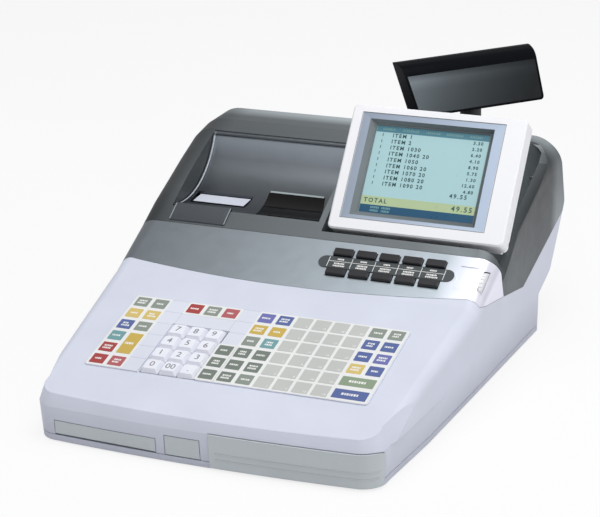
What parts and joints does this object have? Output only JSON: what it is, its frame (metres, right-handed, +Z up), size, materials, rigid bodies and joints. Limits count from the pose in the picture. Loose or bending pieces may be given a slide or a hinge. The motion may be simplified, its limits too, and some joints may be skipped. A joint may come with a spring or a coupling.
{
  "type": "electronic cash register head",
  "caption": "Counter cash register head: sloping flat keyboard with raised number keys, tilting colour screen, swivelling customer display, receipt printer lid, front doors.",
  "frame": {"origin": "bottom centre of the overall box, on the plane the four feet stand on", "axes": "+X to the operator's right, +Y to the rear, +Z up; the keyboard faces -Y"},
  "size_m": [0.3926, 0.5492, 0.2706],
  "materials": {
    "case_white": "fine moulded texture, pale lavender white",
    "cover_grey": "fine moulded texture, cool grey white",
    "fascia_silver": "satin metallic paint",
    "hood_grey": "satin metallic dark grey paint",
    "lid_grey": "satin metallic dark grey paint",
    "screen_white": "smooth moulded white",
    "screen_grey": "matt dark grey",
    "lcd": "colour liquid crystal panel, lit",
    "smoked": "smoked window",
    "black_gloss": "gloss black",
    "black_matte": "fine matt black",
    "key_white": "smooth white key cap",
    "key_black": "satin black key cap",
    "keyboard_film": "printed flat keyboard film",
    "label_film": "dark printed film",
    "steel": "bright zinc plated",
    "board": "green circuit board",
    "rubber": "matt black rubber",
    "paper": "white register paper"
  },
  "bodies": {
    "case": {"base_pan": "case_white", "customer_stalk": "black_matte", "display_brackets": "steel", "display_hinge_shaft": "steel", "door_trays": "cover_grey", "foot_screws": "steel", "front_centre_cover": "cover_grey", "front_fascia": "fascia_silver", "function_label_strip": "label_film", "hood": "hood_grey", "key_boards": "board", "keyboard_sheet": "keyboard_film", "main_board": "board", "print_head": "black_matte", "printer_frame": "steel", "receipt_paper": "paper", "rubber_feet": "rubber", "upper_case": "case_white"},
    "screen": {"display_bezel": "screen_white", "display_frame": "screen_grey", "display_panel": "lcd", "display_back": "screen_white"},
    "customer_display": {"customer_housing": "black_gloss", "customer_window": "smoked"},
    "lid": {"printer_cover": "lid_grey", "journal_window": "smoked", "tear_bar": "steel"},
    "left_door": {"front_left_door": "cover_grey"},
    "right_door": {"front_right_door": "cover_grey"},
    "dial": {"contrast_dial": "cover_grey"},
    "mode_switch": {"mode_key": "steel"},
    "receipt_reel": {"receipt_roll": "paper"},
    "journal_reel": {"journal_roll": "paper"},
    "spool": {"takeup_spool": "black_matte"},
    "platen": {"platen_shaft": "steel", "platen_rollers": "rubber"},
    "number_key_0_cap": {"number_key_0": "key_white"},
    "number_key_00_cap": {"number_key_00": "key_white"},
    "number_key_1_cap": {"number_key_1": "key_white"},
    "number_key_2_cap": {"number_key_2": "key_white"},
    "number_key_3_cap": {"number_key_3": "key_white"},
    "number_key_4_cap": {"number_key_4": "key_white"},
    "number_key_5_cap": {"number_key_5": "key_white"},
    "number_key_6_cap": {"number_key_6": "key_white"},
    "number_key_7_cap": {"number_key_7": "key_white"},
    "number_key_8_cap": {"number_key_8": "key_white"},
    "number_key_9_cap": {"number_key_9": "key_white"},
    "number_key_point_cap": {"number_key_point": "key_white"},
    "function_key_1_cap": {"function_key_1": "key_black"},
    "function_key_10_cap": {"function_key_10": "key_black"},
    "function_key_2_cap": {"function_key_2": "key_black"},
    "function_key_3_cap": {"function_key_3": "key_black"},
    "function_key_4_cap": {"function_key_4": "key_black"},
    "function_key_5_cap": {"function_key_5": "key_black"},
    "function_key_6_cap": {"function_key_6": "key_black"},
    "function_key_7_cap": {"function_key_7": "key_black"},
    "function_key_8_cap": {"function_key_8": "key_black"},
    "function_key_9_cap": {"function_key_9": "key_black"}
  },
  "joints": [
    {"name": "screen_tilt", "type": "hinge", "parent": "case", "child": "screen", "pos_m": [0.0972, 0.03702, 0.13078], "axis": [1, 0, 0], "range_deg": [-18, 0]},
    {"name": "customer_swivel", "type": "hinge", "parent": "case", "child": "customer_display", "pos_m": [0.102, 0.18832, 0.2223], "axis": [0, 0, 1], "range_deg": [-90, 165]},
    {"name": "printer_lid_hinge", "type": "hinge", "parent": "case", "child": "lid", "pos_m": [-0.08225, 0.12622, 0.186], "axis": [-1, 0, 0], "range_deg": [0, 75]},
    {"name": "left_door_hinge", "type": "hinge", "parent": "case", "child": "left_door", "pos_m": [-0.15, -0.26526, 0.0103], "axis": [0.999, -0.0443, 0], "range_deg": [0, 80]},
    {"name": "right_door_hinge", "type": "hinge", "parent": "case", "child": "right_door", "pos_m": [0.022, -0.26775, 0.009], "axis": [0.9993, 0.0374, 0], "range_deg": [0, 60]},
    {"name": "contrast_dial_turn", "type": "hinge", "parent": "case", "child": "dial", "pos_m": [0.1865, -0.01534, 0.10169], "axis": [1, 0, 0], "range_deg": [-135, 135]},
    {"name": "mode_key_turn", "type": "hinge", "parent": "case", "child": "mode_switch", "pos_m": [0.184, 0.16792, 0.16], "axis": [1, 0, 0], "range_deg": [-60, 60]},
    {"name": "receipt_roll_spin", "type": "hinge", "parent": "case", "child": "receipt_reel", "pos_m": [-0.128, 0.10092, 0.096], "axis": [1, 0, 0], "continuous": true},
    {"name": "journal_roll_spin", "type": "hinge", "parent": "case", "child": "journal_reel", "pos_m": [-0.051, 0.10092, 0.096], "axis": [1, 0, 0], "continuous": true},
    {"name": "takeup_spool_spin", "type": "hinge", "parent": "case", "child": "spool", "pos_m": [-0.051, 0.03992, 0.104], "axis": [1, 0, 0], "continuous": true},
    {"name": "platen_spin", "type": "hinge", "parent": "case", "child": "platen", "pos_m": [-0.128, 0.06492, 0.122], "axis": [1, 0, 0], "continuous": true},
    {"name": "number_key_0_press", "type": "slide", "parent": "case", "child": "number_key_0_cap", "axis": [0, 0.2317, -0.9728], "range_m": [0, 0.003], "stiffness_N_per_m": 150, "springref_m": -0.002},
    {"name": "number_key_00_press", "type": "slide", "parent": "case", "child": "number_key_00_cap", "axis": [0, 0.2317, -0.9728], "range_m": [0, 0.003], "stiffness_N_per_m": 150, "springref_m": -0.002},
    {"name": "number_key_1_press", "type": "slide", "parent": "case", "child": "number_key_1_cap", "axis": [0, 0.2317, -0.9728], "range_m": [0, 0.003], "stiffness_N_per_m": 150, "springref_m": -0.002},
    {"name": "number_key_2_press", "type": "slide", "parent": "case", "child": "number_key_2_cap", "axis": [0, 0.2317, -0.9728], "range_m": [0, 0.003], "stiffness_N_per_m": 150, "springref_m": -0.002},
    {"name": "number_key_3_press", "type": "slide", "parent": "case", "child": "number_key_3_cap", "axis": [0, 0.2317, -0.9728], "range_m": [0, 0.003], "stiffness_N_per_m": 150, "springref_m": -0.002},
    {"name": "number_key_4_press", "type": "slide", "parent": "case", "child": "number_key_4_cap", "axis": [0, 0.2317, -0.9728], "range_m": [0, 0.003], "stiffness_N_per_m": 150, "springref_m": -0.002},
    {"name": "number_key_5_press", "type": "slide", "parent": "case", "child": "number_key_5_cap", "axis": [0, 0.2317, -0.9728], "range_m": [0, 0.003], "stiffness_N_per_m": 150, "springref_m": -0.002},
    {"name": "number_key_6_press", "type": "slide", "parent": "case", "child": "number_key_6_cap", "axis": [0, 0.2317, -0.9728], "range_m": [0, 0.003], "stiffness_N_per_m": 150, "springref_m": -0.002},
    {"name": "number_key_7_press", "type": "slide", "parent": "case", "child": "number_key_7_cap", "axis": [0, 0.2317, -0.9728], "range_m": [0, 0.003], "stiffness_N_per_m": 150, "springref_m": -0.002},
    {"name": "number_key_8_press", "type": "slide", "parent": "case", "child": "number_key_8_cap", "axis": [0, 0.2317, -0.9728], "range_m": [0, 0.003], "stiffness_N_per_m": 150, "springref_m": -0.002},
    {"name": "number_key_9_press", "type": "slide", "parent": "case", "child": "number_key_9_cap", "axis": [0, 0.2317, -0.9728], "range_m": [0, 0.003], "stiffness_N_per_m": 150, "springref_m": -0.002},
    {"name": "number_key_point_press", "type": "slide", "parent": "case", "child": "number_key_point_cap", "axis": [0, 0.2317, -0.9728], "range_m": [0, 0.003], "stiffness_N_per_m": 150, "springref_m": -0.002},
    {"name": "function_key_1_press", "type": "slide", "parent": "case", "child": "function_key_1_cap", "axis": [0, 0.4695, -0.8829], "range_m": [0, 0.002], "stiffness_N_per_m": 200, "springref_m": -0.002},
    {"name": "function_key_10_press", "type": "slide", "parent": "case", "child": "function_key_10_cap", "axis": [0, 0.4695, -0.8829], "range_m": [0, 0.002], "stiffness_N_per_m": 200, "springref_m": -0.002},
    {"name": "function_key_2_press", "type": "slide", "parent": "case", "child": "function_key_2_cap", "axis": [0, 0.4695, -0.8829], "range_m": [0, 0.002], "stiffness_N_per_m": 200, "springref_m": -0.002},
    {"name": "function_key_3_press", "type": "slide", "parent": "case", "child": "function_key_3_cap", "axis": [0, 0.4695, -0.8829], "range_m": [0, 0.002], "stiffness_N_per_m": 200, "springref_m": -0.002},
    {"name": "function_key_4_press", "type": "slide", "parent": "case", "child": "function_key_4_cap", "axis": [0, 0.4695, -0.8829], "range_m": [0, 0.002], "stiffness_N_per_m": 200, "springref_m": -0.002},
    {"name": "function_key_5_press", "type": "slide", "parent": "case", "child": "function_key_5_cap", "axis": [0, 0.4695, -0.8829], "range_m": [0, 0.002], "stiffness_N_per_m": 200, "springref_m": -0.002},
    {"name": "function_key_6_press", "type": "slide", "parent": "case", "child": "function_key_6_cap", "axis": [0, 0.4695, -0.8829], "range_m": [0, 0.002], "stiffness_N_per_m": 200, "springref_m": -0.002},
    {"name": "function_key_7_press", "type": "slide", "parent": "case", "child": "function_key_7_cap", "axis": [0, 0.4695, -0.8829], "range_m": [0, 0.002], "stiffness_N_per_m": 200, "springref_m": -0.002},
    {"name": "function_key_8_press", "type": "slide", "parent": "case", "child": "function_key_8_cap", "axis": [0, 0.4695, -0.8829], "range_m": [0, 0.002], "stiffness_N_per_m": 200, "springref_m": -0.002},
    {"name": "function_key_9_press", "type": "slide", "parent": "case", "child": "function_key_9_cap", "axis": [0, 0.4695, -0.8829], "range_m": [0, 0.002], "stiffness_N_per_m": 200, "springref_m": -0.002}
  ]
}
